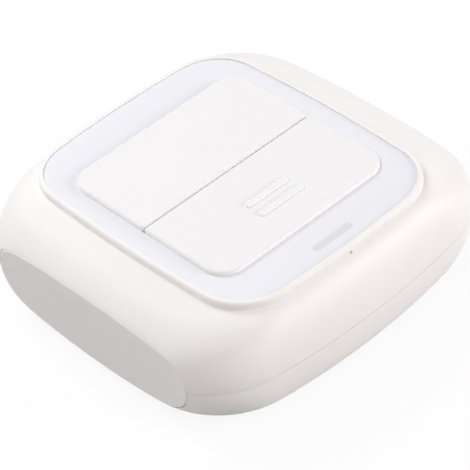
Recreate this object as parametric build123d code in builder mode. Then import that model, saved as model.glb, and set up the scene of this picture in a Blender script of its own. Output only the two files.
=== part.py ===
"""Motorised smart light switch that fits over an existing toggle switch.

Millimetres. The back plane is z = 0, +Z comes out of the face, +Y points up the wall
and +X to the right. The origin is the middle of the back.
"""
import math
import os

from build123d import *

os.makedirs("parts", exist_ok=True)

# Outer body: a pebble shape cut flat on its left and right sides
flat_width = 86.0
belly_reach = 4.15
belly_height = 85.6
belly_bow = 4.85
belly_corner = 21.0
seam_z = 11.6
back_inset = 5.0
back_height = 76.0
back_bow = 4.0
back_corner = 17.5
crown_over = 0.29
wall = 2.2
seam_gap = 0.2
lap_height = 1.3
lap_thickness = 0.9
lap_step = 0.25
oval_points = 24

# Raised lip round the face and the panel that lies inside it
lip_width = 62.6
lip_length = 74.6
lip_bow = 1.5
lip_corner = 12.9
lip_height = 1.74
lip_land = 1.05
lip_round = 0.8
panel_sink = 0.35
panel_thickness = 1.5
panel_gap = 0.06
panel_round = 0.15
roof_thickness = 1.7
roof_window = 57.0
window_room = 3.6
notch_width = 0.5
notch_depth = 0.3

# Keys
key_block = 50.0
key_corner = 5.6
key_gap = 0.15
key_proud = 1.05
key_round = 0.7
key_wall = 1.4
key_roof = 1.6
key_skirt = 4.6
key_split = 0.36
split_corner = 0.8
pivot_y = 22.4
pivot_over_skirt = 0.8
trunnion_d = 1.6
trunnion_length = 1.5
pivot_clearance = 0.05
lug_width = 3.4
lug_thickness = 1.6
lug_sink = 0.2
tab_width = 3.0
tab_height = 0.8
tab_reach = 1.1
tab_drop = 0.2
post_d = 3.0
post_length = 1.0
post_y = 6.5
rib_length = 13.0
rib_width = 1.7
rib_height = 0.45
rib_round = 0.3
rib_x = 0.4
rib_y = (-12.0, -16.3)

# Indicator window
window_y = -32.1
window_length = 11.2
window_width = 1.8
window_gap = 0.05
window_flange = 0.9
window_flange_depth = 0.8
light_gap = 1.0
led_length = 1.6
led_width = 0.9
led_height = 0.7
led_pitch = 3.7

# Batteries, their trays and the side covers
cell_d = 14.5
cell_body = 49.2
cell_nub_d = 5.5
cell_nub = 1.3
cell_side_gap = 0.75
cell_floor_gap = 0.4
cover_ease = 0.2
cover_gap = 0.1
cover_thickness = 1.8
cover_round = 0.45
cover_rim = 1.1
cover_rim_depth = 1.3
tray_wall = 1.0
tray_gap = 0.35
tray_reach = 4.0
contact_thickness = 0.4
contact_width = 9.0
contact_rise = 1.3
contact_taper = 1.0

# Mechanism that throws the toggle
slider_width = 38.0
slider_length = 40.0
slider_floor_z = 2.9
slider_thickness = 3.6
slider_corner = 3.0
lever_width = 9.4
lever_length = 12.0
lever_corner = 2.5
rod_d = 2.0
rod_x = 10.0
rod_length = 62.0
rod_clearance = 0.05
rod_post = 5.0
rod_post_length = 2.6
rod_post_over = 0.5
rod_post_cap = 1.0
rack_inset = 7.0
rack_width = 3.6
rack_module = 0.8
rack_pinion_teeth = 12
rack_teeth = 10
rack_lift = 1.0
gear_module = 0.6
gear_teeth = 20
motor_teeth = 12
gear_from_rack = 4.0
gear_width = 3.0
drive_y = 6.0
backlash = 0.12
pressure_angle = 20.0
gear_pin_d = 2.0
gear_clearance = 0.05
motor_width = 12.0
motor_depth = 10.0
motor_can_length = 15.0
gearbox_length = 9.0
motor_shaft_d = 3.0
motor_shaft_length = 6.4
shaft_socket = 2.0
motor_gap = 0.1
flank_step = 0.001

# Middle frame, board and fixings
frame_over_motor = 0.4
frame_plate = 1.2
frame_side_gap = 0.6
frame_length = 72.0
cheek_thickness = 1.6
cheek_gap = 0.3
cheek_foot_z = 7.0
board_rise = 0.7
board_thickness = 1.0
board_side_gap = 1.7
board_length = 64.0
board_shift = 13.5
spacer_d = 4.0
switch_size = 6.0
switch_height = 2.9
switch_chamfer = 0.4
plunger_d = 3.2
plunger_height = 0.7
plunger_foot = 0.9
press_gap = 0.2
plunger_travel = 0.25
module_width = 10.0
module_length = 12.0
module_height = 1.8
module_corner = 0.5
module_x = 6.5
module_y = -16.5
chip_size = 5.0
chip_height = 0.9
screw_inset = 4.5
screw_y = 32.4
screw_d = 2.2
screw_head_d = 4.2
screw_head = 1.6
screw_reach = 2.7
boss_d = 5.6

# Wall side: the plate that is screwed over the toggle switch
back_wall = 2.4
bracket_width = 46.0
bracket_length = 70.0
bracket_thickness = 1.2
bracket_corner = 4.0
bracket_gap = 0.2
plate_screw_spacing = 60.3
plate_screw_hole = 4.2
plate_screw_room = 8.4
back_slot_width = 18.0
back_slot_length = 34.0
toggle_slot_width = 12.0
toggle_slot_length = 26.0
hook_width = 6.0
hook_x = 17.0
hook_y = 24.0
hook_gap = 0.15

# Places across the width, from the flats inwards
flat_x = flat_width / 2
belly_width = flat_width + 2 * belly_reach
back_width = flat_width - 2 * back_inset
tray_back = cell_d / 2 + tray_gap + tray_wall
cell_x = flat_x - cover_thickness - cell_side_gap - cell_d / 2
cell_z = back_wall + cell_floor_gap + tray_back
frame_width = 2 * (cell_x - tray_back - frame_side_gap)
screw_x = frame_width / 2 - screw_inset
board_width = 2 * (screw_x - boss_d / 2 - board_side_gap)
rack_x = frame_width / 2 - rack_inset
gear_x = rack_x - gear_from_rack

# Gear train, from the slider up
slider_top_z = slider_floor_z + slider_thickness
rod_z = slider_floor_z + slider_thickness / 2
rack_pitch_z = slider_top_z + rack_lift + 1.25 * rack_module
rack_pinion_r = rack_module * rack_pinion_teeth / 2
gear_z = rack_pitch_z + rack_pinion_r
gear_r = gear_module * gear_teeth / 2
motor_pinion_r = gear_module * motor_teeth / 2
idler_y = drive_y + 2 * gear_r
motor_y = idler_y + gear_r + motor_pinion_r
near_cheek_x = gear_x - gear_width / 2 - cheek_gap - cheek_thickness
far_cheek_x = rack_x + rack_width / 2 + cheek_gap

# Heights above the gear train: frame, board, switches, keys, panel, lip and dome
frame_plate_z = gear_z + motor_depth / 2 + frame_over_motor
board_z = frame_plate_z + frame_plate + board_rise
board_top_z = board_z + board_thickness
switch_top_z = board_top_z + switch_height
post_foot_z = switch_top_z + plunger_height + press_gap
key_roof_z = post_foot_z + post_length
key_top_z = key_roof_z + key_roof
key_skirt_z = key_top_z - key_skirt
pivot_z = key_skirt_z + pivot_over_skirt
key_half = key_block / 2
panel_top_z = key_top_z - key_proud
ledge_z = panel_top_z - panel_thickness
lip_top_z = panel_top_z + panel_sink
lip_foot_z = lip_top_z - lip_height
crown_z = lip_foot_z + crown_over
screw_tip_z = frame_plate_z + frame_plate + screw_reach


def outline(z, width, height, bow, corner, inset=0.0):
    """Rectangle with softly bowed sides and round corners, flat at height z."""
    x, y = width / 2 - inset, height / 2 - inset
    with BuildSketch(Plane.XY.offset(z)) as sketch:
        with BuildLine():
            ThreePointArc((x - bow, bow - y), (x, 0), (x - bow, y - bow))
            ThreePointArc((x - bow, y - bow), (0, y), (bow - x, y - bow))
            ThreePointArc((bow - x, y - bow), (-x, 0), (bow - x, bow - y))
            ThreePointArc((bow - x, bow - y), (0, -y), (x - bow, bow - y))
        make_face()
        fillet(sketch.vertices(), corner - inset)
    return sketch.sketch


def lip_outline(z, inset=0.0):
    """Outline of the raised lip, or a smaller one inside it."""
    return outline(z, lip_width, lip_length, lip_bow, lip_corner, inset)


def belly_outline(z, inset=0.0):
    """Outline of the body at the seam, or a smaller one inside it."""
    return outline(z, belly_width, belly_height, belly_bow, belly_corner, inset)


def dome_section(angle, inset=0.0):
    """Section of the front dome, at an angle up its quarter ellipse from the seam."""
    foot_reach = math.cos(math.asin((lip_foot_z - seam_z) / (crown_z - seam_z)))
    share = (math.cos(angle) - foot_reach) / (1 - foot_reach)
    rise = math.sin(angle) * (crown_z - seam_z) / (lip_foot_z - seam_z)
    width = lip_width + (belly_width - lip_width) * share
    height = lip_length + (belly_height - lip_length) * share
    bow = belly_bow + (lip_bow - belly_bow) * rise
    corner = belly_corner + (lip_corner - belly_corner) * rise ** 2
    return outline(seam_z + (crown_z - seam_z) * math.sin(angle), width, height, bow, corner, inset)


def back_section(angle, inset=0.0):
    """Section of the rear shell, at an angle down its quarter ellipse from the seam."""
    share = math.cos(angle)
    width = back_width + (belly_width - back_width) * share
    height = back_height + (belly_height - back_height) * share
    bow = back_bow + (belly_bow - back_bow) * share
    corner = back_corner + (belly_corner - back_corner) * share
    return outline(seam_z - seam_z * math.sin(angle), width, height, bow, corner, inset)


def slot(z, length, width, x=0.0, y=0.0):
    """Slot with round ends, along X."""
    with BuildSketch(Plane((x, y, z))) as sketch:
        SlotOverall(length, width)
    return sketch.sketch


def gear_outline(plane, teeth, module, bore, turn=0.0):
    """Spur gear with involute flanks, each drawn as one arc through its pitch point.

    The first tooth points along the plane's x axis, or is turned from it by a share of a tooth.
    """
    pitch_r = module * teeth / 2
    base_r = pitch_r * math.cos(math.radians(pressure_angle))
    tip_r = pitch_r + module
    root_r = pitch_r - 1.25 * module
    start_r = max(base_r, root_r)

    def half_angle(r):
        roll = math.tan(math.acos(base_r / r)) - math.acos(base_r / r)
        pitch_roll = math.tan(math.radians(pressure_angle)) - math.radians(pressure_angle)
        return math.pi / (2 * teeth) - backlash / (2 * pitch_r) + pitch_roll - roll

    def point(r, angle):
        return (r * math.cos(angle), r * math.sin(angle))

    step = 2 * math.pi / teeth
    with BuildSketch(plane) as sketch:
        with BuildLine():
            for tooth in range(teeth):
                middle = (tooth + turn) * step
                foot, pitch, tip = half_angle(start_r), half_angle(pitch_r), half_angle(tip_r)
                next_foot = middle + step - foot
                Line(point(root_r, middle - foot), point(start_r + flank_step, middle - foot))
                ThreePointArc(point(start_r + flank_step, middle - foot), point(pitch_r, middle - pitch),
                              point(tip_r, middle - tip))
                Line(point(tip_r, middle - tip), point(tip_r, middle + tip))
                ThreePointArc(point(tip_r, middle + tip), point(pitch_r, middle + pitch),
                              point(start_r + flank_step, middle + foot))
                Line(point(start_r + flank_step, middle + foot), point(root_r, middle + foot))
                Line(point(root_r, middle + foot), point(root_r, next_foot))
        make_face()
        Circle(bore / 2, mode=Mode.SUBTRACT)
    return sketch.sketch


def facing_x(x, y=0.0, z=0.0):
    """Plane that looks along +X, with its own x axis along +Y and its y axis along +Z."""
    return Plane(origin=(x, y, z), x_dir=(0, 1, 0), z_dir=(1, 0, 0))


# Solid pebble shape, which gives the flat ovals on the two sides
foot_angle = math.asin((lip_foot_z - seam_z) / (crown_z - seam_z))
section_shares = (0, 0.2, 0.4, 0.6, 0.8, 1)
with BuildPart() as pebble:
    loft(sections=[dome_section(foot_angle * share) for share in section_shares])
    loft(sections=[back_section(math.pi / 2 * share) for share in section_shares])
    Box(flat_width, 2 * belly_height, 4 * crown_z, mode=Mode.INTERSECT)
sides = {"left": -1, "right": 1}
flats = {"left": pebble.faces().sort_by(Axis.X)[0], "right": pebble.faces().sort_by(Axis.X)[-1]}


def oval(side, inset=0.0):
    """Flat oval on one side of the body, or a smaller one inside it, as one smooth closed curve."""
    edge = flats[side].outer_wire()
    if inset:
        edge = edge.offset_2d(-inset)
    points = [edge.position_at(place / oval_points) for place in range(oval_points)]
    return Face(Wire([Edge.make_spline(points, periodic=True)]))


# Front shell: the dome, the lip round the face and the ledge that carries the panel
front_bottom_z = seam_z + seam_gap / 2
cavity_top_z = ledge_z - roof_thickness
cavity_angle = math.asin((cavity_top_z - seam_z) / (crown_z - seam_z))
cavity_shares = (0, 0.35, 0.7, 1)
opening_depth = flat_x - cell_x
with BuildPart() as front_shell:
    loft(sections=[dome_section(foot_angle * share) for share in section_shares])
    extrude(lip_outline(lip_foot_z), amount=lip_top_z - lip_foot_z)
    lip_edges = front_shell.faces().sort_by(Axis.Z)[-1].outer_wire().edges()
    fillet(lip_edges, lip_round)
    extrude(lip_outline(ledge_z, lip_land), amount=lip_top_z - ledge_z, mode=Mode.SUBTRACT)
    loft(sections=[dome_section(cavity_angle * share, wall) for share in cavity_shares],
         ruled=True, mode=Mode.SUBTRACT)
    extrude(belly_outline(seam_z, wall - lap_thickness - seam_gap), amount=lap_height + seam_gap,
            mode=Mode.SUBTRACT)
    with BuildSketch(Plane.XY.offset(cavity_top_z)):
        RectangleRounded(roof_window, roof_window, key_corner)
    extrude(amount=roof_thickness, mode=Mode.SUBTRACT)
    extrude(slot(cavity_top_z, window_length + window_room, window_width + window_room, y=window_y),
            amount=roof_thickness, mode=Mode.SUBTRACT)
    with BuildSketch(Plane.XY.offset(frame_plate_z + frame_plate)):
        with GridLocations(2 * screw_x, 2 * screw_y, 2, 2):
            Circle(boss_d / 2)
    extrude(amount=cavity_top_z - frame_plate_z - frame_plate)
    with BuildSketch(Plane.XY.offset(frame_plate_z + frame_plate)):
        with GridLocations(2 * screw_x, 2 * screw_y, 2, 2):
            Circle(screw_d / 2)
    extrude(amount=screw_tip_z - frame_plate_z, mode=Mode.SUBTRACT)
    Box(flat_width, 2 * belly_height, 4 * crown_z, mode=Mode.INTERSECT)
    for side, sign in sides.items():
        extrude(oval(side, -cover_ease - cover_gap), amount=opening_depth, dir=(-sign, 0, 0),
                mode=Mode.SUBTRACT)
    with BuildSketch(Plane.XY):
        Rectangle(2 * belly_width, 2 * belly_height)
    extrude(amount=front_bottom_z, mode=Mode.SUBTRACT)
    with Locations((0, -lip_length / 2, lip_foot_z)):
        Box(notch_width, 2 * notch_depth, 2 * notch_depth, mode=Mode.SUBTRACT)
front_shell.part.label = "front_shell"
export_step(front_shell.part, "parts/front_shell.step")

# Rear shell: the back, its screw posts, the rod posts and the pocket for the wall plate
rear_top_z = seam_z - seam_gap / 2
cavity_low_angle = math.asin((seam_z - back_wall) / seam_z)
rod_post_y = rod_length / 2 - rod_post_length / 2 + rod_post_over
rod_post_top_z = rod_z + rod_d / 2 + rod_post_cap
with BuildPart() as rear_shell:
    loft(sections=[back_section(math.pi / 2 * share) for share in section_shares])
    loft(sections=[back_section(cavity_low_angle * share, wall) for share in cavity_shares],
         ruled=True, mode=Mode.SUBTRACT)
    with BuildSketch(Plane.XY.offset(rear_top_z)):
        Rectangle(2 * belly_width, 2 * belly_height)
    extrude(amount=seam_z, mode=Mode.SUBTRACT)
    with BuildSketch(Plane.XY.offset(seam_z - lap_height)):
        add(belly_outline(0, wall - lap_thickness))
        add(belly_outline(0, wall + lap_step), mode=Mode.SUBTRACT)
    extrude(amount=2 * lap_height)
    with BuildSketch(Plane.XY.offset(back_wall / 2)):
        with GridLocations(2 * screw_x, 2 * screw_y, 2, 2):
            Circle(boss_d / 2)
    extrude(amount=frame_plate_z - back_wall / 2)
    with BuildSketch(Plane.XY.offset(back_wall / 2)):
        with GridLocations(2 * rod_x, 2 * rod_post_y, 2, 2):
            Rectangle(rod_post, rod_post_length)
    extrude(amount=rod_post_top_z - back_wall / 2)
    with BuildSketch(Plane.XZ.offset(-rod_length / 2)):
        with Locations((-rod_x, rod_z), (rod_x, rod_z)):
            Circle(rod_d / 2)
    extrude(amount=rod_length, mode=Mode.SUBTRACT)
    Box(flat_width, 2 * belly_height, 4 * crown_z, mode=Mode.INTERSECT)
    for side, sign in sides.items():
        extrude(oval(side, -cover_ease - cover_gap), amount=opening_depth, dir=(-sign, 0, 0),
                mode=Mode.SUBTRACT)
    with BuildSketch(Plane.XY):
        RectangleRounded(bracket_width + 2 * bracket_gap, bracket_length + 2 * bracket_gap,
                         bracket_corner + bracket_gap)
    extrude(amount=bracket_thickness, mode=Mode.SUBTRACT)
    with BuildSketch(Plane.XY):
        RectangleRounded(back_slot_width, back_slot_length, lever_corner)
        with Locations((0, -plate_screw_spacing / 2), (0, plate_screw_spacing / 2)):
            Circle(plate_screw_room / 2)
        with GridLocations(2 * hook_x, 2 * hook_y, 2, 2):
            Rectangle(bracket_thickness + 2 * hook_gap, hook_width + 2 * hook_gap)
        with GridLocations(2 * screw_x, 2 * screw_y, 2, 2):
            Circle(screw_d / 2 + gear_clearance)
    extrude(amount=frame_plate_z, mode=Mode.SUBTRACT)
    with BuildSketch(Plane.XY):
        with GridLocations(2 * screw_x, 2 * screw_y, 2, 2):
            Circle(screw_head_d / 2 + rod_clearance)
    extrude(amount=bracket_thickness + screw_head + hook_gap, mode=Mode.SUBTRACT)
rear_shell.part.label = "rear_shell"
export_step(rear_shell.part, "parts/rear_shell.step")

# Covers over the two battery bays, flush with the flats
for side, sign in sides.items():
    with BuildPart() as battery_cover:
        extrude(oval(side, -cover_ease), amount=cover_thickness, dir=(-sign, 0, 0))
        outer = battery_cover.faces().sort_by(Axis.X)[-1 if sign > 0 else 0]
        fillet(outer.outer_wire().edges(), cover_round)
        extrude(oval(side, cover_rim), amount=cover_thickness + cover_rim_depth,
                dir=(-sign, 0, 0))
        inner_rim = oval(side, 2 * cover_rim).moved(Location((-sign * cover_thickness, 0, 0)))
        extrude(inner_rim, amount=cover_rim_depth, dir=(-sign, 0, 0), mode=Mode.SUBTRACT)
    battery_cover.part.label = f"battery_cover_{side}"
    export_step(battery_cover.part, f"parts/battery_cover_{side}.step")

# Panel inside the lip, with the key window and the lugs that hold the keys' trunnions
lug_x = key_half + key_gap + lug_thickness / 2
lug_foot_z = pivot_z - trunnion_d / 2 - lug_thickness / 2
with BuildPart() as face_panel:
    extrude(lip_outline(ledge_z, lip_land + panel_gap), amount=panel_thickness)
    fillet(face_panel.faces().sort_by(Axis.Z)[-1].outer_wire().edges(), panel_round)
    with BuildSketch(Plane.XY.offset(ledge_z)):
        RectangleRounded(key_block + 2 * key_gap, key_block + 2 * key_gap, key_corner + key_gap)
        with Locations((0, window_y)):
            SlotOverall(window_length, window_width)
    extrude(amount=panel_thickness, mode=Mode.SUBTRACT)
    with BuildSketch(Plane.XY.offset(lug_foot_z)):
        with GridLocations(2 * lug_x, 2 * pivot_y, 2, 2):
            Rectangle(lug_thickness, lug_width)
    extrude(amount=panel_top_z - lug_foot_z - lug_sink)
    with BuildSketch(facing_x(-flat_x)):
        with Locations((-pivot_y, pivot_z), (pivot_y, pivot_z)):
            Circle(trunnion_d / 2 + pivot_clearance)
    extrude(amount=flat_width, mode=Mode.SUBTRACT)
face_panel.part.label = "face_panel"
export_step(face_panel.part, "parts/face_panel.step")

# Two keys, hinged at their outer ends, the lower one with two finger ribs
tab_z = ledge_z - tab_drop - tab_height
for name, sign in (("upper_key", 1), ("lower_key", -1)):
    with BuildPart() as key:
        with BuildSketch(Plane.XY.offset(key_skirt_z)) as plan:
            RectangleRounded(key_block, key_block, key_corner)
            with Locations((0, -sign * (key_half - key_split / 2))):
                Rectangle(2 * key_block, key_block, mode=Mode.SUBTRACT)
            fillet(plan.vertices().group_by(Axis.Y)[0 if sign > 0 else -1], split_corner)
        extrude(amount=key_top_z - key_skirt_z)
        fillet(key.faces().sort_by(Axis.Z)[-1].outer_wire().edges(), key_round)
        with BuildSketch(Plane.XY.offset(key_skirt_z)):
            offset(plan.sketch_local, amount=-key_wall)
        extrude(amount=key_roof_z - key_skirt_z, mode=Mode.SUBTRACT)
        with BuildSketch(Plane.XY.offset(post_foot_z)):
            with Locations((0, sign * post_y)):
                Circle(post_d / 2)
        extrude(amount=key_roof_z - post_foot_z)
        for edge in (-1, 1):
            with BuildSketch(facing_x(edge * (key_half - key_wall))):
                with Locations((sign * pivot_y, pivot_z)):
                    Circle(trunnion_d / 2)
            extrude(amount=edge * (key_wall + trunnion_length))
            with BuildSketch(facing_x(edge * (key_half - key_wall / 2))):
                with Locations((sign * post_y / 2, tab_z + tab_height / 2)):
                    Rectangle(tab_width, tab_height)
            extrude(amount=edge * (key_wall / 2 + tab_reach))
        if sign < 0:
            with BuildSketch(Plane.XY.offset(key_top_z - rib_height)):
                for y in rib_y:
                    with Locations((rib_x, y)):
                        SlotOverall(rib_length, rib_width)
            extrude(amount=2 * rib_height)
            fillet(key.faces().group_by(Axis.Z)[-1].edges(), rib_round)
    key.part.label = name
    export_step(key.part, f"parts/{name}.step")

# Diffuser of the indicator, held under the panel by its flange
light_foot_z = board_top_z + light_gap
with BuildPart() as light_window:
    extrude(slot(light_foot_z, window_length - 2 * window_gap, window_width - 2 * window_gap,
                 y=window_y), amount=panel_top_z - light_foot_z)
    extrude(slot(ledge_z - window_flange_depth, window_length + 2 * window_flange,
                 window_width + 2 * window_flange, y=window_y), amount=window_flange_depth)
light_window.part.label = "light_window"
export_step(light_window.part, "parts/light_window.step")

# Cells, their trays and the leaf contacts at both ends
cell_length = cell_body + cell_nub
tray_half = cell_length / 2 + contact_rise + 2 * contact_thickness
contact_bow = contact_width / 2 - contact_taper
for side, sign in sides.items():
    with BuildPart() as aa_cell:
        with BuildSketch(Plane.XZ.offset(-cell_length / 2)):
            with Locations((sign * cell_x, cell_z)):
                Circle(cell_nub_d / 2)
        extrude(amount=cell_length)
        with BuildSketch(Plane.XZ.offset(cell_nub - cell_length / 2)):
            with Locations((sign * cell_x, cell_z)):
                Circle(cell_d / 2)
        extrude(amount=cell_body)
    aa_cell.part.label = f"aa_cell_{side}"
    export_step(aa_cell.part, f"parts/aa_cell_{side}.step")

    with BuildPart() as battery_tray:
        tray_depth = tray_back + tray_reach
        with BuildSketch(facing_x(sign * (cell_x - tray_back), 0, cell_z)):
            Rectangle(2 * (tray_half + tray_wall), 2 * tray_back)
        extrude(amount=sign * tray_depth)
        with BuildSketch(facing_x(sign * (cell_x - tray_back + tray_wall), 0, cell_z)):
            Rectangle(2 * tray_half, 2 * (tray_back - tray_wall))
        extrude(amount=sign * tray_depth, mode=Mode.SUBTRACT)
    battery_tray.part.label = f"battery_tray_{side}"
    export_step(battery_tray.part, f"parts/battery_tray_{side}.step")

    with BuildPart() as battery_contacts:
        for end in (-1, 1):
            with BuildSketch(Plane.YZ.offset(sign * cell_x - contact_width / 2)):
                with Locations((end * (tray_half - contact_thickness / 2), cell_z)):
                    Rectangle(contact_thickness, contact_width)
                with BuildLine():
                    foot = end * (tray_half - contact_thickness)
                    tip = end * (cell_length / 2)
                    inner = tip + end * contact_thickness
                    ThreePointArc((foot, cell_z - contact_width / 2), (tip, cell_z),
                                  (foot, cell_z + contact_width / 2))
                    Line((foot, cell_z + contact_width / 2), (foot, cell_z + contact_bow))
                    ThreePointArc((foot, cell_z + contact_bow), (inner, cell_z), (foot, cell_z - contact_bow))
                    Line((foot, cell_z - contact_bow), (foot, cell_z - contact_width / 2))
                make_face()
            extrude(amount=contact_width)
    battery_contacts.part.label = f"battery_contacts_{side}"
    export_step(battery_contacts.part, f"parts/battery_contacts_{side}.step")

# Middle frame: carries the board above it, and the motor and the gears between its cheeks below
cheek_low_y = drive_y - gear_pin_d - cheek_thickness
gear_room_low_x = near_cheek_x + cheek_thickness
gear_room = 2 * (gear_r + gear_module + cheek_gap)
board_y = window_y / 2 + board_shift
cheek_high_y = motor_y + motor_width / 2
with BuildPart() as middle_frame:
    with BuildSketch(Plane.XY.offset(frame_plate_z)):
        RectangleRounded(frame_width, frame_length, bracket_corner)
        with GridLocations(2 * screw_x, 2 * screw_y, 2, 2):
            Circle(screw_d / 2 + gear_clearance, mode=Mode.SUBTRACT)
        with Locations(((gear_room_low_x + far_cheek_x) / 2, (drive_y + idler_y) / 2)):
            Rectangle(far_cheek_x - gear_room_low_x, idler_y - drive_y + gear_room, mode=Mode.SUBTRACT)
    extrude(amount=frame_plate)
    with BuildSketch(Plane.XY.offset(frame_plate_z + frame_plate)):
        with Locations((0, board_y)):
            with GridLocations(board_width - spacer_d, board_length - spacer_d, 2, 2):
                Circle(spacer_d / 2)
    extrude(amount=board_z - frame_plate_z - frame_plate)
    for x, high_y in ((near_cheek_x, cheek_high_y), (far_cheek_x, idler_y + gear_pin_d + cheek_thickness)):
        with BuildSketch(facing_x(x)) as cheek:
            with Locations(((cheek_low_y + high_y) / 2, (cheek_foot_z + frame_plate_z) / 2)):
                Rectangle(high_y - cheek_low_y, frame_plate_z - cheek_foot_z)
            fillet(cheek.vertices().group_by(Axis.Z)[0], gear_pin_d)
            with Locations((drive_y, gear_z), (idler_y, gear_z)):
                Circle(gear_pin_d / 2, mode=Mode.SUBTRACT)
            with Locations((motor_y, gear_z)):
                Circle(motor_shaft_d / 2 + cheek_gap, mode=Mode.SUBTRACT)
        extrude(amount=cheek_thickness)
    for edge in (-1, 1):
        rib_middle = motor_y + edge * (motor_width / 2 + motor_gap + cheek_thickness / 2)
        with BuildSketch(Plane.XY.offset(gear_z)):
            with Locations((near_cheek_x - (motor_can_length + gearbox_length) / 2, rib_middle)):
                Rectangle(motor_can_length, cheek_thickness)
        extrude(amount=frame_plate_z - gear_z)
middle_frame.part.label = "middle_frame"
export_step(middle_frame.part, "parts/middle_frame.step")

# Board and what stands on it
with BuildPart() as main_board:
    with BuildSketch(Plane.XY.offset(board_z)):
        with Locations((0, board_y)):
            RectangleRounded(board_width, board_length, spacer_d / 2)
    extrude(amount=board_thickness)
main_board.part.label = "main_board"
export_step(main_board.part, "parts/main_board.step")

for name, sign in (("upper", 1), ("lower", -1)):
    with BuildPart() as key_switch:
        with BuildSketch(Plane.XY.offset(board_top_z)):
            with Locations((0, sign * post_y)):
                Rectangle(switch_size, switch_size)
        extrude(amount=switch_height)
        chamfer(key_switch.edges().filter_by(Axis.Z), switch_chamfer)
        with BuildSketch(Plane.XY.offset(switch_top_z - plunger_foot - 2 * plunger_travel)):
            with Locations((0, sign * post_y)):
                Circle(plunger_d / 2 + gear_clearance)
        extrude(amount=plunger_foot + 2 * plunger_travel, mode=Mode.SUBTRACT)
    key_switch.part.label = f"{name}_key_switch"
    export_step(key_switch.part, f"parts/{name}_key_switch.step")

    with BuildPart() as switch_plunger:
        with BuildSketch(Plane.XY.offset(switch_top_z - plunger_foot)):
            with Locations((0, sign * post_y)):
                Circle(plunger_d / 2)
        extrude(amount=plunger_foot + plunger_height)
    switch_plunger.part.label = f"{name}_switch_plunger"
    export_step(switch_plunger.part, f"parts/{name}_switch_plunger.step")

with BuildPart() as indicator_leds:
    with BuildSketch(Plane.XY.offset(board_top_z)):
        with Locations((0, window_y)):
            with GridLocations(led_pitch, led_pitch, 3, 1):
                Rectangle(led_length, led_width)
    extrude(amount=led_height)
indicator_leds.part.label = "indicator_leds"
export_step(indicator_leds.part, "parts/indicator_leds.step")

with BuildPart() as radio_module:
    with BuildSketch(Plane.XY.offset(board_top_z)):
        with Locations((module_x, module_y)):
            RectangleRounded(module_width, module_length, module_corner)
    extrude(amount=module_height)
radio_module.part.label = "radio_module"
export_step(radio_module.part, "parts/radio_module.step")

with BuildPart() as board_chips:
    with BuildSketch(Plane.XY.offset(board_top_z)):
        with Locations((-module_x, module_y), (-module_x, -module_y), (module_x, -module_y)):
            Rectangle(chip_size, chip_size)
    extrude(amount=chip_height)
board_chips.part.label = "board_chips"
export_step(board_chips.part, "parts/board_chips.step")

# Gear motor on its side, held against the near cheek
gearbox_back_x = near_cheek_x - gearbox_length
with BuildPart() as gear_motor:
    with BuildSketch(facing_x(gearbox_back_x, motor_y, gear_z)):
        Rectangle(motor_width, motor_depth)
    extrude(amount=gearbox_length)
    with BuildSketch(facing_x(gearbox_back_x, motor_y, gear_z)):
        Circle(motor_width / 2)
        Rectangle(2 * motor_width, motor_depth, mode=Mode.INTERSECT)
    extrude(amount=-motor_can_length)
    with BuildSketch(facing_x(near_cheek_x, motor_y, gear_z)):
        Circle(motor_shaft_d / 2 + gear_clearance)
    extrude(amount=-shaft_socket, mode=Mode.SUBTRACT)
gear_motor.part.label = "gear_motor"
export_step(gear_motor.part, "parts/gear_motor.step")

with BuildPart() as motor_shaft:
    with BuildSketch(facing_x(near_cheek_x - shaft_socket + gear_clearance, motor_y, gear_z)):
        Circle(motor_shaft_d / 2)
    extrude(amount=shaft_socket + motor_shaft_length)
motor_shaft.part.label = "motor_shaft"
export_step(motor_shaft.part, "parts/motor_shaft.step")

# Gear train: motor pinion, idler, and the drive gear whose small pinion moves the rack
gear_face_x = gear_x - gear_width / 2
hub_end_x = far_cheek_x - cheek_gap
with BuildPart() as motor_pinion:
    extrude(gear_outline(facing_x(gear_face_x, motor_y, gear_z), motor_teeth, gear_module, motor_shaft_d),
            amount=gear_width)
motor_pinion.part.label = "motor_pinion"
export_step(motor_pinion.part, "parts/motor_pinion.step")

gear_bore = gear_pin_d + 2 * gear_clearance
with BuildPart() as idler_gear:
    idler_plane = facing_x(gear_face_x, idler_y, gear_z)
    extrude(gear_outline(idler_plane, gear_teeth, gear_module, gear_bore, turn=0.5), amount=gear_width)
    with BuildSketch(facing_x(gear_face_x, idler_y, gear_z)):
        Circle(gear_bore)
        Circle(gear_bore / 2, mode=Mode.SUBTRACT)
    extrude(amount=hub_end_x - gear_face_x)
idler_gear.part.label = "idler_gear"
export_step(idler_gear.part, "parts/idler_gear.step")

rack_face_x = rack_x - rack_width / 2
with BuildPart() as drive_gear:
    extrude(gear_outline(facing_x(gear_face_x, drive_y, gear_z), gear_teeth, gear_module, gear_bore),
            amount=gear_width)
    with BuildSketch(facing_x(gear_face_x, drive_y, gear_z)):
        Circle(rack_pinion_r - 1.25 * rack_module)
        Circle(gear_bore / 2, mode=Mode.SUBTRACT)
    extrude(amount=hub_end_x - gear_face_x)
    pinion_plane = facing_x(rack_face_x, drive_y, gear_z)
    extrude(gear_outline(pinion_plane, rack_pinion_teeth, rack_module, gear_bore), amount=rack_width)
drive_gear.part.label = "drive_gear"
export_step(drive_gear.part, "parts/drive_gear.step")

with BuildPart() as gear_pins:
    with BuildSketch(facing_x(near_cheek_x)):
        with Locations((drive_y, gear_z), (idler_y, gear_z)):
            Circle(gear_pin_d / 2)
    extrude(amount=far_cheek_x + cheek_thickness - near_cheek_x)
gear_pins.part.label = "gear_pins"
export_step(gear_pins.part, "parts/gear_pins.step")

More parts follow.
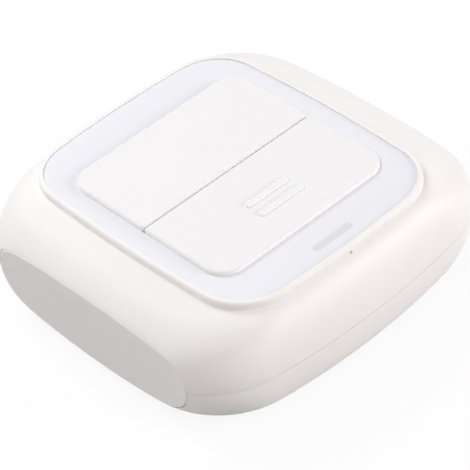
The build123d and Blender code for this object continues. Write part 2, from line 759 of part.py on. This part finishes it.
# Slider: the plate that holds the toggle lever, on two rods, with a rack on its right side
rack_pitch = math.pi * rack_module
rack_tip_z = rack_pitch_z + rack_module
rack_root_z = rack_pitch_z - 1.25 * rack_module
rack_half = rack_teeth * rack_pitch / 2
flank = math.tan(math.radians(pressure_angle))
with BuildPart() as toggle_slider:
    with BuildSketch(Plane.XY.offset(slider_floor_z)):
        RectangleRounded(slider_width, slider_length, slider_corner)
        RectangleRounded(lever_width, lever_length, lever_corner, mode=Mode.SUBTRACT)
    extrude(amount=slider_thickness)
    with BuildSketch(facing_x(rack_face_x)):
        with Locations((drive_y, (slider_top_z + rack_tip_z) / 2)):
            Rectangle(2 * rack_half, rack_tip_z - slider_top_z)
        half_gap = rack_pitch / 4 + backlash / 2
        root_half = half_gap - (rack_pitch_z - rack_root_z) * flank
        tip_half = half_gap + (rack_tip_z - rack_pitch_z) * flank
        with Locations([(drive_y + (place - rack_teeth / 2) * rack_pitch, 0)
                        for place in range(rack_teeth + 1)]):
            Polygon((-root_half, rack_root_z), (root_half, rack_root_z), (tip_half, rack_tip_z),
                    (-tip_half, rack_tip_z), align=None, mode=Mode.SUBTRACT)
    extrude(amount=rack_width)
    with BuildSketch(Plane.XZ.offset(-slider_length)):
        with Locations((-rod_x, rod_z), (rod_x, rod_z)):
            Circle(rod_d / 2 + rod_clearance)
    extrude(amount=2 * slider_length, mode=Mode.SUBTRACT)
toggle_slider.part.label = "toggle_slider"
export_step(toggle_slider.part, "parts/toggle_slider.step")

with BuildPart() as guide_rods:
    with BuildSketch(Plane.XZ.offset(-rod_length / 2)):
        with Locations((-rod_x, rod_z), (rod_x, rod_z)):
            Circle(rod_d / 2)
    extrude(amount=rod_length)
guide_rods.part.label = "guide_rods"
export_step(guide_rods.part, "parts/guide_rods.step")

# Screws that hold the two shells and the middle frame together
screw_head_z = bracket_thickness + hook_gap
with BuildPart() as case_screws:
    with BuildSketch(Plane.XY.offset(screw_head_z)):
        with GridLocations(2 * screw_x, 2 * screw_y, 2, 2):
            Circle(screw_head_d / 2)
    extrude(amount=screw_head)
    with BuildSketch(Plane.XY.offset(screw_head_z)):
        with GridLocations(2 * screw_x, 2 * screw_y, 2, 2):
            Circle(screw_d / 2)
    extrude(amount=screw_tip_z - screw_head_z)
case_screws.part.label = "case_screws"
export_step(case_screws.part, "parts/case_screws.step")

# Wall plate, screwed on over the toggle switch, with four hooks for the body
with BuildPart() as mounting_bracket:
    with BuildSketch(Plane.XY):
        RectangleRounded(bracket_width, bracket_length, bracket_corner)
        RectangleRounded(toggle_slot_width, toggle_slot_length, lever_corner, mode=Mode.SUBTRACT)
        with Locations((0, -plate_screw_spacing / 2), (0, plate_screw_spacing / 2)):
            Circle(plate_screw_hole / 2, mode=Mode.SUBTRACT)
    extrude(amount=bracket_thickness)
    with BuildSketch(Plane.XY.offset(bracket_thickness)):
        with GridLocations(2 * hook_x, 2 * hook_y, 2, 2):
            Rectangle(bracket_thickness, hook_width)
    extrude(amount=back_wall - bracket_thickness)
mounting_bracket.part.label = "mounting_bracket"
export_step(mounting_bracket.part, "parts/mounting_bracket.step")
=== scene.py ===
import logging
import math
from dataclasses import dataclass
from enum import Enum

import bmesh
import bpy
from mathutils import Matrix, Vector


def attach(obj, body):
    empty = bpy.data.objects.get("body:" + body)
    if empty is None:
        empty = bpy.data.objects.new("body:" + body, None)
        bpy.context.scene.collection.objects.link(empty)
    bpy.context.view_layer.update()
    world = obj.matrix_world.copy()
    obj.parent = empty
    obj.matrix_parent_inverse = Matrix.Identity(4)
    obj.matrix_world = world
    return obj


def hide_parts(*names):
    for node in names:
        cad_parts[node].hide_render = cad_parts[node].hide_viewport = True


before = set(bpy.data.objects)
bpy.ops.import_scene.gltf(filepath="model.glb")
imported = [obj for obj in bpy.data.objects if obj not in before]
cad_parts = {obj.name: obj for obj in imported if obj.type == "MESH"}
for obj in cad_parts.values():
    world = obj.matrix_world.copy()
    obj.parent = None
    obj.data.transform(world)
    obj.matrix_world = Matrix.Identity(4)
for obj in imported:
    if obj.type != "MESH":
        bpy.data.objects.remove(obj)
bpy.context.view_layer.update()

log = logging.getLogger("light_switch")

MM = 0.001
IMAGE_PIXELS = 470
SENSOR_MM = 36.0
CREASE_DEG = 24.0
NOISE_LOW = 0.3
NOISE_HIGH = 0.7


# Colours and nodes

def linear(hex_colour: str) -> tuple[float, float, float, float]:
    """Turn an sRGB hex colour into Blender's linear colour.

    Args:
        hex_colour: six hex digits after a hash sign.

    Returns:
        Linear red, green, blue and an alpha of 1.
    """
    channels = (int(hex_colour[i:i + 2], 16) / 255 for i in (1, 3, 5))
    red, green, blue = (c / 12.92 if c <= 0.04045 else ((c + 0.055) / 1.055) ** 2.4 for c in channels)
    return red, green, blue, 1.0


def add_node(tree: bpy.types.NodeTree, kind: str, settings: dict | None = None,
             inputs: dict | None = None, links: dict | None = None) -> bpy.types.Node:
    """Add one node with its settings, input values and incoming links.

    Args:
        tree: node tree that takes the node.
        kind: the node's type name.
        settings: attributes of the node itself.
        inputs: values of input sockets, by name or place.
        links: output sockets that feed input sockets, by name or place.

    Returns:
        The new node.
    """
    node = tree.nodes.new(kind)
    for name, value in (settings or {}).items():
        setattr(node, name, value)
    for socket, value in (inputs or {}).items():
        node.inputs[socket].default_value = value
    for socket, source in (links or {}).items():
        tree.links.new(source, node.inputs[socket])
    return node


def empty_material(name: str) -> tuple[bpy.types.Material, bpy.types.NodeTree]:
    """Start a material with no nodes.

    Args:
        name: the material's name.

    Returns:
        The material and its cleared node tree.
    """
    material = bpy.data.materials.new(name)
    material.use_nodes = True
    material.node_tree.nodes.clear()
    return material, material.node_tree


# Finishes

@dataclass(frozen=True)
class MouldedPlastic:
    """A moulded plastic skin with the fine grain that its mould leaves on it."""

    name: str
    colour: str
    shade: str
    roughness: float
    grain_mm: float
    relief_mm: float
    cloud_mm: float = 28.0
    ior: float = 1.53
    glow: float = 0.0
    depth_mm: float = 0.4
    scatter: tuple[float, float, float] = (1.0, 0.85, 0.75)
    gloss_swing: float = 0.04

    def material(self) -> bpy.types.Material:
        """Build the plastic: clouded colour, uneven gloss and a fine raised grain."""
        material, tree = empty_material(self.name)
        place = add_node(tree, "ShaderNodeTexCoord").outputs["Object"]
        cloud = add_node(tree, "ShaderNodeTexNoise", {"noise_dimensions": "3D"},
                         {"Scale": 1 / (self.cloud_mm * MM), "Detail": 3.0, "Roughness": 0.5},
                         {"Vector": place})
        tone = add_node(tree, "ShaderNodeMix", {"data_type": "RGBA"},
                        {6: linear(self.shade), 7: linear(self.colour)}, {"Factor": cloud.outputs["Fac"]})
        grain = add_node(tree, "ShaderNodeTexNoise", {"noise_dimensions": "3D"},
                         {"Scale": 1 / (self.grain_mm * MM), "Detail": 2.0, "Roughness": 0.55},
                         {"Vector": place})
        gloss = add_node(tree, "ShaderNodeMapRange", None,
                         {"From Min": NOISE_LOW, "From Max": NOISE_HIGH,
                          "To Min": self.roughness - self.gloss_swing,
                          "To Max": self.roughness + self.gloss_swing}, {"Value": grain.outputs["Fac"]})
        bump = add_node(tree, "ShaderNodeBump", None, {"Strength": 1.0, "Distance": self.relief_mm * MM},
                        {"Height": grain.outputs["Fac"]})
        shader = add_node(tree, "ShaderNodeBsdfPrincipled", None,
                          {"IOR": self.ior, "Subsurface Weight": self.glow,
                           "Subsurface Radius": self.scatter, "Subsurface Scale": self.depth_mm * MM},
                          {"Base Color": tone.outputs[2], "Roughness": gloss.outputs["Result"],
                           "Normal": bump.outputs["Normal"]})
        add_node(tree, "ShaderNodeOutputMaterial", None, None, {"Surface": shader.outputs["BSDF"]})
        return material


@dataclass(frozen=True)
class PlatedMetal:
    """Sheet or turned metal with fine lines along one axis and faint stains."""

    name: str
    colour: str
    shade: str
    roughness: float
    line_mm: float
    relief_mm: float
    along: tuple[float, float, float] = (1.0, 1.0, 1.0)
    stain_mm: float = 7.0
    gloss_swing: float = 0.07

    def material(self) -> bpy.types.Material:
        """Build the metal: two tones, uneven gloss and shallow drawn lines."""
        material, tree = empty_material(self.name)
        place = add_node(tree, "ShaderNodeTexCoord").outputs["Object"]
        turned = add_node(tree, "ShaderNodeMapping", None, {"Scale": self.along}, {"Vector": place})
        lines = add_node(tree, "ShaderNodeTexNoise", {"noise_dimensions": "3D"},
                         {"Scale": 1 / (self.line_mm * MM), "Detail": 2.0, "Roughness": 0.6},
                         {"Vector": turned.outputs["Vector"]})
        stain = add_node(tree, "ShaderNodeTexNoise", {"noise_dimensions": "3D"},
                         {"Scale": 1 / (self.stain_mm * MM), "Detail": 4.0, "Roughness": 0.6},
                         {"Vector": place})
        tone = add_node(tree, "ShaderNodeMix", {"data_type": "RGBA"},
                        {6: linear(self.shade), 7: linear(self.colour)}, {"Factor": stain.outputs["Fac"]})
        gloss = add_node(tree, "ShaderNodeMapRange", None,
                         {"From Min": NOISE_LOW, "From Max": NOISE_HIGH,
                          "To Min": self.roughness - self.gloss_swing,
                          "To Max": self.roughness + self.gloss_swing}, {"Value": lines.outputs["Fac"]})
        bump = add_node(tree, "ShaderNodeBump", None, {"Strength": 1.0, "Distance": self.relief_mm * MM},
                        {"Height": lines.outputs["Fac"]})
        shader = add_node(tree, "ShaderNodeBsdfPrincipled", None, {"Metallic": 1.0},
                          {"Base Color": tone.outputs[2], "Roughness": gloss.outputs["Result"],
                           "Normal": bump.outputs["Normal"]})
        add_node(tree, "ShaderNodeOutputMaterial", None, None, {"Surface": shader.outputs["BSDF"]})
        return material


class Finish(Enum):
    """The finishes of the switch, each named for what the real surface is."""

    # Satin ABS from a finely spark-eroded mould: warm white, soft wide highlights, no mirror image.
    # The real grain is about 0.05 mm, too fine to show, so it is drawn at 0.35 mm.
    HOUSING = MouldedPlastic("satin_abs_warm_white", "#F7F6F3", "#F5F4F0", 0.5, 0.35, 0.004, glow=0.5)
    # The same satin ABS on the snap-on covers, which catch the light at their rolled edge.
    COVER = MouldedPlastic("satin_abs_cover", "#F7F7F5", "#F4F4F1", 0.55, 0.35, 0.004, glow=0.4)
    # Polycarbonate plate polished finer than the housing: a cooler, slightly blue white.
    PLATE = MouldedPlastic("fine_polycarbonate_cool_white", "#F0F1F5", "#EEEFF3", 0.4, 0.3, 0.002, glow=0.3)
    # Fine-textured ABS key caps: neutral white, a little duller than the plate around them.
    KEY = MouldedPlastic("textured_abs_key", "#F3F3F2", "#F2F1F1", 0.62, 0.35, 0.003, glow=0.3)
    # Milky diffuser: polycarbonate loaded with a scattering agent, so it looks soft and greyer.
    DIFFUSER = MouldedPlastic("milky_diffuser", "#E3E4E8", "#E0E1E5", 0.4, 0.25, 0.001,
                              cloud_mm=6.0, ior=1.58, glow=0.2)
    # Glass-filled nylon of the inner frame: dark, matt, with short pale fibres that show as specks.
    FRAME = MouldedPlastic("glass_filled_nylon", "#3A3D41", "#2C2F32", 0.6, 0.6, 0.012, cloud_mm=4.0)
    # Unfilled acetal of the gears and slider: waxy ivory white with a slippery sheen.
    GEAR = MouldedPlastic("acetal_ivory", "#EFE9DA", "#E6DFCC", 0.34, 0.5, 0.003,
                          cloud_mm=9.0, ior=1.48, glow=0.15)
    # Printed shrink sleeve of a cell, left plain: a glossy film drawn tight over the can.
    SLEEVE = MouldedPlastic("shrink_sleeve", "#43525F", "#36434F", 0.22, 0.8, 0.004, cloud_mm=12.0)
    # Epoxy laminate under a green solder mask: glossy lacquer over a faint glass weave.
    LAMINATE = MouldedPlastic("solder_mask_green", "#1F6F49", "#195C3C", 0.28, 0.7, 0.005, cloud_mm=5.0)
    # Moulded epoxy of the chips: charcoal, finely blasted.
    CHIP = MouldedPlastic("moulding_compound", "#232427", "#18191B", 0.58, 0.4, 0.006, cloud_mm=3.0)
    # Cold-rolled sheet steel, zinc plated: cool grey with the faint lines of the rolling.
    STEEL = PlatedMetal("zinc_plated_steel", "#C3C6CA", "#AEB2B7", 0.36, 0.9, 0.004, (1.0, 0.06, 1.0))
    # Nickel plated spring strip: brighter and warmer than the zinc, stamped edges.
    CONTACT = PlatedMetal("nickel_plated_strip", "#D2CEC3", "#BEB9AC", 0.24, 0.6, 0.002)
    # Turned brass pinion: yellow metal with the fine rings of the hob.
    BRASS = PlatedMetal("machined_brass", "#CFA650", "#B98F3E", 0.26, 0.5, 0.003, (4.0, 1.0, 1.0))


class Palette:
    """Keeps one material of each finish, so that pieces share it."""

    def __init__(self) -> None:
        """Start with no material built."""
        self._built: dict[Finish, bpy.types.Material] = {}

    def of(self, finish: Finish) -> bpy.types.Material:
        """Give a finish's material, built at its first use."""
        if finish not in self._built:
            self._built[finish] = finish.value.material()
        return self._built[finish]


def dress(node: str, material: bpy.types.Material) -> None:
    """Give a node of the frame its finish.

    Args:
        node: the node's name.
        material: the material for all its faces.
    """
    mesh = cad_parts[node].data
    mesh.materials.clear()
    mesh.materials.append(material)
    log.info("%s: %s", node, material.name)


# The switch itself

@dataclass
class Skin:
    """A visible moulded part: a merged, smoothly shaded copy of the node that it stands for."""

    node: str
    body: str
    slot: str
    finish: Finish
    merge_mm: float = 0.001
    crease_deg: float = CREASE_DEG
    face_weight: int = 60

    def settled(self, place: Vector) -> Vector:
        """Give the place in the skin of a point of the node, both in mm: the same place."""
        return place

    def build(self, palette: Palette) -> bpy.types.Object:
        """Copy the node, merge its loose triangles, shade it and put it on its body."""
        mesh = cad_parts[self.node].data.copy()
        mesh.name = f"{self.node}_skin"
        work = bmesh.new()
        work.from_mesh(mesh)
        bmesh.ops.remove_doubles(work, verts=work.verts, dist=self.merge_mm * MM)
        for vertex in work.verts:
            vertex.co = self.settled(vertex.co / MM) * MM
        for face in work.faces:
            face.smooth = True
            face.material_index = 0
        crease = math.radians(self.crease_deg)
        for edge in work.edges:
            edge.smooth = len(edge.link_faces) == 2 and edge.calc_face_angle(0.0) < crease
        work.to_mesh(mesh)
        work.free()
        mesh.materials.clear()
        mesh.materials.append(palette.of(self.finish))
        piece = bpy.data.objects.new(f"{self.node}_skin", mesh)
        bpy.context.scene.collection.objects.link(piece)
        modifier = piece.modifiers.new("weighted_normals", "WEIGHTED_NORMAL")
        modifier.keep_sharp = True
        modifier.weight = self.face_weight
        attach(piece, self.body)
        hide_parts(self.node)
        log.info("%s: %d faces, %s", piece.name, len(mesh.polygons), self.finish.name)
        return piece


def from_corners(place: Vector, straight_mm: float) -> Vector:
    """Give the way out of a rounded square, from its straight sides or its corners' centres.

    Args:
        place: a point, in mm.
        straight_mm: half the length of the square's straight sides.

    Returns:
        The level vector from the nearest point of the square that those sides' ends span.
    """
    across, along = (math.copysign(max(abs(value) - straight_mm, 0.0), value) for value in place.xy)
    return Vector((across, along, 0.0))


@dataclass
class KeySkin(Skin):
    """A key whose running gap shows as thin as a close moulding's: its walls stand a hair further out."""

    straight_mm: float = 19.4
    wall_from_mm: float = 4.85
    wall_push_mm: float = 0.05
    split_mm: float = 1.0
    split_push_mm: float = 0.08

    def settled(self, place: Vector) -> Vector:
        """Push the outer walls out and the wall at the split towards the other key."""
        if abs(place.y) < self.split_mm:
            place = Vector((place.x, place.y - math.copysign(self.split_push_mm, place.y), place.z))
        out = from_corners(place, self.straight_mm)
        return place + out.normalized() * self.wall_push_mm if out.length > self.wall_from_mm else place


@dataclass
class PlateSkin(Skin):
    """The plate, closed in by a hair round the keys and inside the lip."""

    straight_mm: float = 19.4
    opening_mm: float = 5.75
    opening_push_mm: float = 0.088
    tolerance_mm: float = 0.02
    rim_across_mm: float = 30.19
    rim_along_mm: float = 36.19
    rim_from: float = 0.9
    rim_push_mm: float = 0.05
    underside_mm: float = 25.3

    def settled(self, place: Vector) -> Vector:
        """Draw the wall of the opening in and the outer rim out."""
        out = from_corners(place, self.straight_mm)
        if place.z < self.underside_mm:
            return place
        if abs(out.length - self.opening_mm) < self.tolerance_mm:
            return place - out.normalized() * self.opening_push_mm
        across, along = place.x / self.rim_across_mm, place.y / self.rim_along_mm
        if across ** 4 + along ** 4 < self.rim_from:
            return place
        outwards = Vector((across ** 3 / self.rim_across_mm, along ** 3 / self.rim_along_mm, 0.0))
        return place + outwards.normalized() * self.rim_push_mm


@dataclass
class WindowSkin(Skin):
    """The light window, let in so closely that no dark line shows round it."""

    middle_mm: float = -32.1
    straight_mm: float = 4.7
    inner_mm: float = 0.75
    outer_mm: float = 1.0
    push_mm: float = 0.045

    def settled(self, place: Vector) -> Vector:
        """Push the window's wall out from its middle line, and leave its flange."""
        straight = max(-self.straight_mm, min(self.straight_mm, place.x))
        out = Vector((place.x - straight, place.y - self.middle_mm, 0.0))
        if self.inner_mm < out.length < self.outer_mm:
            return place + out.normalized() * self.push_mm
        return place


@dataclass
class ShellSkin(Skin):
    """A shell, brought closer to the other one so that the seam shows as thin as in the photograph."""

    seam_mm: float = 11.6
    half_gap_mm: float = 0.1
    tolerance_mm: float = 0.01
    push_mm: float = 0.055

    def settled(self, place: Vector) -> Vector:
        """Move the face at the seam towards the other shell."""
        height = place.z - self.seam_mm
        if abs(abs(height) - self.half_gap_mm) < self.tolerance_mm:
            return Vector((place.x, place.y, place.z - math.copysign(self.push_mm, height)))
        return place


@dataclass
class Housing:
    """The pebble-shaped case: two shells, two battery covers, the face plate and its light window."""

    crease_deg: float = CREASE_DEG

    def build(self, palette: Palette) -> None:
        """Build the skins of the case."""
        for shell in ("front_shell", "rear_shell"):
            ShellSkin(shell, "case", "body_plastic", Finish.HOUSING,
                      crease_deg=self.crease_deg).build(palette)
        for side in ("left", "right"):
            Skin(f"battery_cover_{side}", "case", "body_plastic", Finish.COVER,
                 crease_deg=self.crease_deg).build(palette)
        PlateSkin("face_panel", "case", "panel_plastic", Finish.PLATE,
                  crease_deg=self.crease_deg).build(palette)
        WindowSkin("light_window", "case", "diffuser", Finish.DIFFUSER,
                   crease_deg=self.crease_deg).build(palette)


@dataclass
class Keys:
    """The two rocker keys that fill the plate's opening."""

    crease_deg: float = CREASE_DEG

    def build(self, palette: Palette) -> None:
        """Build the skins of both keys."""
        for key in ("upper_key", "lower_key"):
            KeySkin(key, key, "key_plastic", Finish.KEY, crease_deg=self.crease_deg).build(palette)


@dataclass
class Works:
    """What lies behind the keys: cells, board, motor, gears and slider."""

    def build(self, palette: Palette) -> None:
        """Give each inner node its finish."""
        finishes = {
            Finish.SLEEVE: ("aa_cell_left", "aa_cell_right"),
            Finish.FRAME: ("battery_tray_left", "battery_tray_right", "middle_frame"),
            Finish.CONTACT: ("battery_contacts_left", "battery_contacts_right"),
            Finish.LAMINATE: ("main_board",),
            Finish.CHIP: ("board_chips", "upper_key_switch", "lower_key_switch"),
            Finish.GEAR: ("drive_gear", "idler_gear", "toggle_slider", "upper_switch_plunger",
                          "lower_switch_plunger"),
            Finish.DIFFUSER: ("indicator_leds",),
            Finish.BRASS: ("motor_pinion",),
            Finish.STEEL: ("gear_motor", "motor_shaft", "gear_pins", "guide_rods", "radio_module",
                           "case_screws", "mounting_bracket"),
        }
        for finish, nodes in finishes.items():
            for node in nodes:
                dress(node, palette.of(finish))


# The studio

@dataclass(frozen=True)
class Lamp:
    """A soft rectangular lamp, aimed at the switch."""

    name: str
    place_mm: tuple[float, float, float]
    width_mm: float
    height_mm: float
    watts: float
    colour: str = "#FFFFFF"

    def build(self, aim: Vector) -> bpy.types.Object:
        """Hang the lamp and turn it to the aim."""
        data = bpy.data.lights.new(self.name, "AREA")
        data.shape = "RECTANGLE"
        data.size = self.width_mm * MM
        data.size_y = self.height_mm * MM
        data.energy = self.watts
        data.color = linear(self.colour)[:3]
        lamp = bpy.data.objects.new(self.name, data)
        bpy.context.scene.collection.objects.link(lamp)
        place = Vector(self.place_mm) * MM
        lamp.location = place
        lamp.rotation_euler = (aim - place).to_track_quat("-Z", "Y").to_euler()
        return lamp


@dataclass
class Studio:
    """A pale floor, a white world behind it and soft lamps round the switch."""

    floor_mm: float = 4000.0
    floor_colour: str = "#B4B3B1"
    floor_glow: float = 0.87
    sky: float = 0.40
    sky_colour: str = "#FDFAFF"
    aim_mm: tuple[float, float, float] = (0.0, 0.0, 15.0)
    lamps: tuple[Lamp, ...] = (
        Lamp("left_softbox", (-700.0, 0.0, 650.0), 500.0, 500.0, 2.35, "#FFF5F5"),
        Lamp("back_softbox", (0.0, 700.0, 650.0), 500.0, 500.0, 4.71, "#FAFFFE"),
        Lamp("front_right_softbox", (600.0, -800.0, 300.0), 500.0, 400.0, 6.7, "#FFF9F8"),
    )

    def build(self) -> None:
        """Build the floor, the world and the lamps."""
        self.build_floor()
        self.build_world()
        for lamp in self.lamps:
            lamp.build(Vector(self.aim_mm) * MM)

    def build_floor(self) -> bpy.types.Object:
        """Lay a plain pale floor that shows nearly white and keeps the switch's shadow."""
        work = bmesh.new()
        bmesh.ops.create_grid(work, x_segments=1, y_segments=1, size=self.floor_mm * MM / 2)
        mesh = bpy.data.meshes.new("studio_floor")
        work.to_mesh(mesh)
        work.free()
        material, tree = empty_material("pale_studio_floor")
        path = add_node(tree, "ShaderNodeLightPath")
        seen = add_node(tree, "ShaderNodeMath", {"operation": "MAXIMUM"}, None,
                        {0: path.outputs["Is Camera Ray"], 1: path.outputs["Is Glossy Ray"]})
        seen = add_node(tree, "ShaderNodeMath", {"operation": "MAXIMUM"}, None,
                        {0: seen.outputs[0], 1: path.outputs["Is Transmission Ray"]})
        tone = add_node(tree, "ShaderNodeMix", {"data_type": "RGBA"},
                        {6: linear(self.floor_colour), 7: linear("#FFFFFF")}, {"Factor": seen.outputs[0]})
        matt = add_node(tree, "ShaderNodeBsdfDiffuse", None, None, {"Color": tone.outputs[2]})
        glow = add_node(tree, "ShaderNodeEmission", None, {"Color": linear("#FFFFFF"), "Strength": 1.0})
        share = add_node(tree, "ShaderNodeMath", {"operation": "MULTIPLY"}, {1: self.floor_glow},
                         {0: seen.outputs[0]})
        mix = add_node(tree, "ShaderNodeMixShader", None, None,
                       {0: share.outputs[0], 1: matt.outputs[0], 2: glow.outputs[0]})
        add_node(tree, "ShaderNodeOutputMaterial", None, None, {"Surface": mix.outputs[0]})
        mesh.materials.append(material)
        floor = bpy.data.objects.new("studio_floor", mesh)
        bpy.context.scene.collection.objects.link(floor)
        return floor

    def build_world(self) -> None:
        """Make the sky white where it is seen and plain soft light elsewhere."""
        world = bpy.data.worlds.new("studio_sky")
        world.use_nodes = True
        tree = world.node_tree
        tree.nodes.clear()
        path = add_node(tree, "ShaderNodeLightPath")
        seen = add_node(tree, "ShaderNodeMath", {"operation": "MAXIMUM"}, None,
                        {0: path.outputs["Is Camera Ray"], 1: path.outputs["Is Transmission Ray"]})
        strength = add_node(tree, "ShaderNodeMapRange", None, {"To Min": self.sky, "To Max": 1.0},
                            {"Value": seen.outputs[0]})
        tone = add_node(tree, "ShaderNodeMix", {"data_type": "RGBA"},
                        {6: linear(self.sky_colour), 7: linear("#FFFFFF")}, {"Factor": seen.outputs[0]})
        sky = add_node(tree, "ShaderNodeBackground", None, None,
                       {"Color": tone.outputs[2], "Strength": strength.outputs["Result"]})
        add_node(tree, "ShaderNodeOutputWorld", None, None, {"Surface": sky.outputs[0]})
        bpy.context.scene.world = world


@dataclass(frozen=True)
class Camera:
    """The camera of the photograph, found from the outlines of the object in it."""

    azimuth_deg: float = -38.556
    elevation_deg: float = 41.252
    roll_deg: float = -7.611
    distance_mm: float = 534.14
    aim_mm: tuple[float, float, float] = (-4.505, -5.159, 15.0)
    focal_pixels: float = 2438.15
    clip_m: tuple[float, float] = (0.01, 50.0)

    def build(self) -> bpy.types.Object:
        """Place the camera at its distance from the aim and turn it by its roll."""
        azimuth, elevation, roll = (math.radians(a) for a in
                                    (self.azimuth_deg, self.elevation_deg, self.roll_deg))
        back = Vector((math.sin(azimuth) * math.cos(elevation), -math.cos(azimuth) * math.cos(elevation),
                       math.sin(elevation)))
        level = Vector((math.cos(azimuth), math.sin(azimuth), 0.0))
        upright = back.cross(level)
        right = level * math.cos(roll) + upright * math.sin(roll)
        up = back.cross(right)
        data = bpy.data.cameras.new("camera")
        data.sensor_fit = "HORIZONTAL"
        data.sensor_width = SENSOR_MM
        data.lens = self.focal_pixels / IMAGE_PIXELS * SENSOR_MM
        data.clip_start, data.clip_end = self.clip_m
        camera = bpy.data.objects.new("camera", data)
        place = (Vector(self.aim_mm) + back * self.distance_mm) * MM
        turn = Matrix((right, up, back)).transposed().to_4x4()
        camera.matrix_world = Matrix.Translation(place) @ turn
        bpy.context.scene.collection.objects.link(camera)
        bpy.context.scene.camera = camera
        return camera


def main() -> None:
    """Build the camera, the switch and the studio."""
    logging.basicConfig(level=logging.INFO, format="%(name)s: %(message)s")
    bpy.context.scene.view_settings.view_transform = "Standard"
    Camera().build()
    palette = Palette()
    Housing().build(palette)
    Keys().build(palette)
    Works().build(palette)
    Studio().build()


if __name__ == "__main__":
    main()
